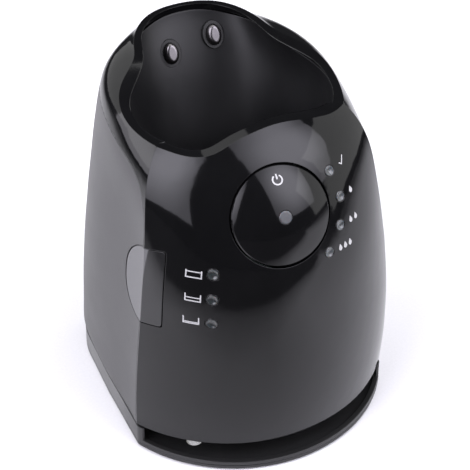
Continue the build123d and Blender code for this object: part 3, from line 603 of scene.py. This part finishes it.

# ------------------------------------------------------------------ copies of the springs in place of the originals: the lift springs stay where they are, the contact springs ride the housing
def spring_copy(node, body):
    src = NODES[node]
    ob = link(bpy.data.objects.new(node + "_coil", src.data.copy()))
    ob.matrix_world = src.matrix_world.copy()
    if body:
        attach(ob, body)
    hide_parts(node)
    return ob


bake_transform(spring_copy("lift_springs", None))
for side_name in ("left", "right"):
    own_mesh(spring_copy("contact_spring_" + side_name, "housing"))

# ------------------------------------------------------------------ floor
fm = bpy.data.meshes.new("floor")
bm = bmesh.new()
bmesh.ops.create_grid(bm, x_segments=8, y_segments=8, size=1.15)
bm.to_mesh(fm)
bm.free()
floor = link(bpy.data.objects.new("floor", fm))
f = Mat("floor_pale_painted_dark")
sep = f.new("ShaderNodeSeparateXYZ")
f.link(f.tc.outputs["Object"], sep.inputs[0])
# painted shade: for all rays but the camera's, the floor is painted dark in front of the object, beyond a line that
# runs off to the right, and at least half dark and darker further out elsewhere; the object's reflections and bounced
# light see this dark floor
PAINTED_SHADE_EDGE = [(-0.50, 0.085), (-0.38, 0.095), (-0.33, 0.105), (-0.26, 0.130), (-0.175, 0.172), (-0.091, 0.190), (-0.033, 0.212),
        (0.02, 0.232), (0.06, 0.262), (0.116, 0.310), (0.18, 0.350), (0.243, 0.395), (0.375, 0.500), (0.50, 0.650)]


def stops(node, pts):
    e = node.color_ramp.elements
    while len(e) > 1:
        e.remove(e[-1])
    e[0].position = pts[0][0]
    e[0].color = (pts[0][1], pts[0][1], pts[0][1], 1)
    for x, v in pts[1:]:
        k = e.new(x)
        k.color = (v, v, v, 1)


line = f.new("ShaderNodeValToRGB")
stops(line, [(x + 0.5, v / 0.9) for x, v in PAINTED_SHADE_EDGE])
f.link(f.math("ADD", sep.outputs["X"], 0.5), line.inputs[0])
inside = f.math("ADD", sep.outputs["Y"], f.math("MULTIPLY", line.outputs["Color"], 0.9))
painted_dark_ramp = f.new("ShaderNodeValToRGB")
stops(painted_dark_ramp, [(0.0, 1.0), (0.12, 0.92), (0.20, 0.74), (0.286, 0.60), (0.536, 0.30), (0.71, 0.08), (0.80, 0.0)])
f.link(f.remap(inside, 0.0, 1.0, -0.040, 0.100), painted_dark_ramp.inputs[0])
far = f.new("ShaderNodeVectorMath", operation="LENGTH")
f.link(f.tc.outputs["Object"], far.inputs[0])
painted_dark = f.math("MAXIMUM", painted_dark_ramp.outputs["Color"], f.remap(far.outputs["Value"], 0.0, 0.85, 0.50, 0.95))
# painted shade: a darker patch on the floor in front of the object, seen in its reflections
shade = f.math("MULTIPLY", f.math("MULTIPLY", f.remap(sep.outputs["X"], 0.0, 1.0, -0.170, -0.060), f.remap(sep.outputs["X"], 1.0, 0.0, 0.0, 0.080)),
               f.remap(sep.outputs["Y"], 0.36, 0.18, -0.145, -0.070))
painted_dark = f.math("ADD", painted_dark, f.math("MULTIPLY", shade, f.math("SUBTRACT", 1.0, painted_dark)))
# the camera sees the floor pale; the painted dark floor shows only to other rays
path = f.new("ShaderNodeLightPath")
painted_dark = f.math("MULTIPLY", painted_dark, f.math("SUBTRACT", 1.0, path.outputs["Is Camera Ray"]))
paper = f.ramp(f.noise(900, 3), (0.89, 0.89, 0.89), (0.93, 0.93, 0.93), 0.3, 0.7)
f.set(base=f.mix(painted_dark, paper, (0.06, 0.06, 0.06)), rough=0.9, spec=0.0)
fm.materials.append(f.m)

# ------------------------------------------------------------------ studio
world = bpy.data.worlds.new("studio")
scene.world = world
world.use_nodes = True
world.node_tree.nodes["Background"].inputs["Color"].default_value = (0.9, 0.92, 1.0, 1)
world.node_tree.nodes["Background"].inputs["Strength"].default_value = 0.05
wt = world.node_tree
seen = wt.nodes.new("ShaderNodeLightPath")
gain = wt.nodes.new("ShaderNodeMath")
gain.operation = "MULTIPLY_ADD"
gain.inputs[1].default_value = 1.1
gain.inputs[2].default_value = 0.05
wt.links.new(seen.outputs["Is Camera Ray"], gain.inputs[0])
wt.links.new(gain.outputs[0], wt.nodes["Background"].inputs["Strength"])


def softbox(name, A, B, D, centre, scale, radiance, color=(1, 1, 1), edge=0.35):
    """lamp given by the directions of three of its corners, seen from centre; brighter in the middle"""
    A, B, D = (Vector(p) * scale for p in (A, B, D))
    x = (B - A)
    y = (D - A)
    sx, sy = x.length, y.length
    x.normalize()
    y = (y - x * y.dot(x)).normalized()
    z = x.cross(y)
    mid = A + x * sx / 2 + y * sy / 2
    if z.dot(mid) < 0:
        x = -x
        z = x.cross(y)
    d = bpy.data.lights.new(name, "AREA")
    d.shape = "RECTANGLE"
    d.size = sx
    d.size_y = sy
    d.energy = 4.0 * radiance * sx * sy
    d.color = color
    d.use_nodes = True
    nt = d.node_tree
    em = [n for n in nt.nodes if n.type == "EMISSION"][0]
    geo = nt.nodes.new("ShaderNodeNewGeometry")
    sub = nt.nodes.new("ShaderNodeVectorMath"); sub.operation = "SUBTRACT"
    sub.inputs[1].default_value = (0.5, 0.5, 0.0)
    nt.links.new(geo.outputs["Parametric"], sub.inputs[0])
    mul = nt.nodes.new("ShaderNodeVectorMath"); mul.operation = "MULTIPLY"
    mul.inputs[1].default_value = (1.0, 1.0, 0.0)
    nt.links.new(sub.outputs[0], mul.inputs[0])
    ln = nt.nodes.new("ShaderNodeVectorMath"); ln.operation = "LENGTH"
    nt.links.new(mul.outputs[0], ln.inputs[0])
    mr = nt.nodes.new("ShaderNodeMapRange")
    mr.interpolation_type = "SMOOTHSTEP"
    mr.inputs["From Min"].default_value = 0.10
    mr.inputs["From Max"].default_value = 0.62
    mr.inputs["To Min"].default_value = 1.25
    mr.inputs["To Max"].default_value = edge
    nt.links.new(ln.outputs["Value"], mr.inputs["Value"])
    nt.links.new(mr.outputs["Result"], em.inputs["Strength"])
    ob = link(bpy.data.objects.new(name, d))
    ob.matrix_world = Matrix.Translation(Vector(centre) + mid) @ Matrix((x, y, z)).transposed().to_4x4()
    return ob


softbox("softbox_right", (0.107, -0.764, 0.164), (0.853, -0.492, 0.174), (-0.03, -0.19, 0.97), (0.02, -0.05, 0.14), 1.7, 3.15, (0.91, 0.89, 1.0))
softbox("softbox_left", (-0.896, -0.961, 0.09), (-1.018, 0.059, -0.01), (-0.56, -0.60, 1.75), (-0.03, -0.04, 0.12), 1.25, 3.8, (0.91, 0.89, 1.0), 0.40)
softbox("softbox_behind", (-1.04, 0.24, -0.03), (-0.70, 0.745, -0.03), (-1.00, 0.23, 0.72), (-0.05, 0.0, 0.14), 1.3, 1.8, (0.94, 0.92, 1.0), 0.9)


def area(name, loc, target, sx, sy, radiance, color=(1, 1, 1)):
    d = bpy.data.lights.new(name, "AREA")
    d.shape = "RECTANGLE"
    d.size = sx
    d.size_y = sy
    d.energy = 4.0 * radiance * sx * sy
    d.color = color
    ob = link(bpy.data.objects.new(name, d))
    ob.location = loc
    ob.rotation_euler = (Vector(target) - Vector(loc)).to_track_quat("-Z", "Y").to_euler()
    return ob


area("room_right", (1.7, 0.0, 0.75), (0, 0, 0.1), 2.8, 1.5, 0.95)
area("room_rear", (-0.9, 1.1, 0.95), (0, 0, 0.1), 2.2, 1.5, 0.7)
area("room_top", (0.10, 0.35, 2.0), (0.0, 0.0, 0.1), 1.5, 1.1, 1.8)

scene.view_settings.view_transform = "Standard"
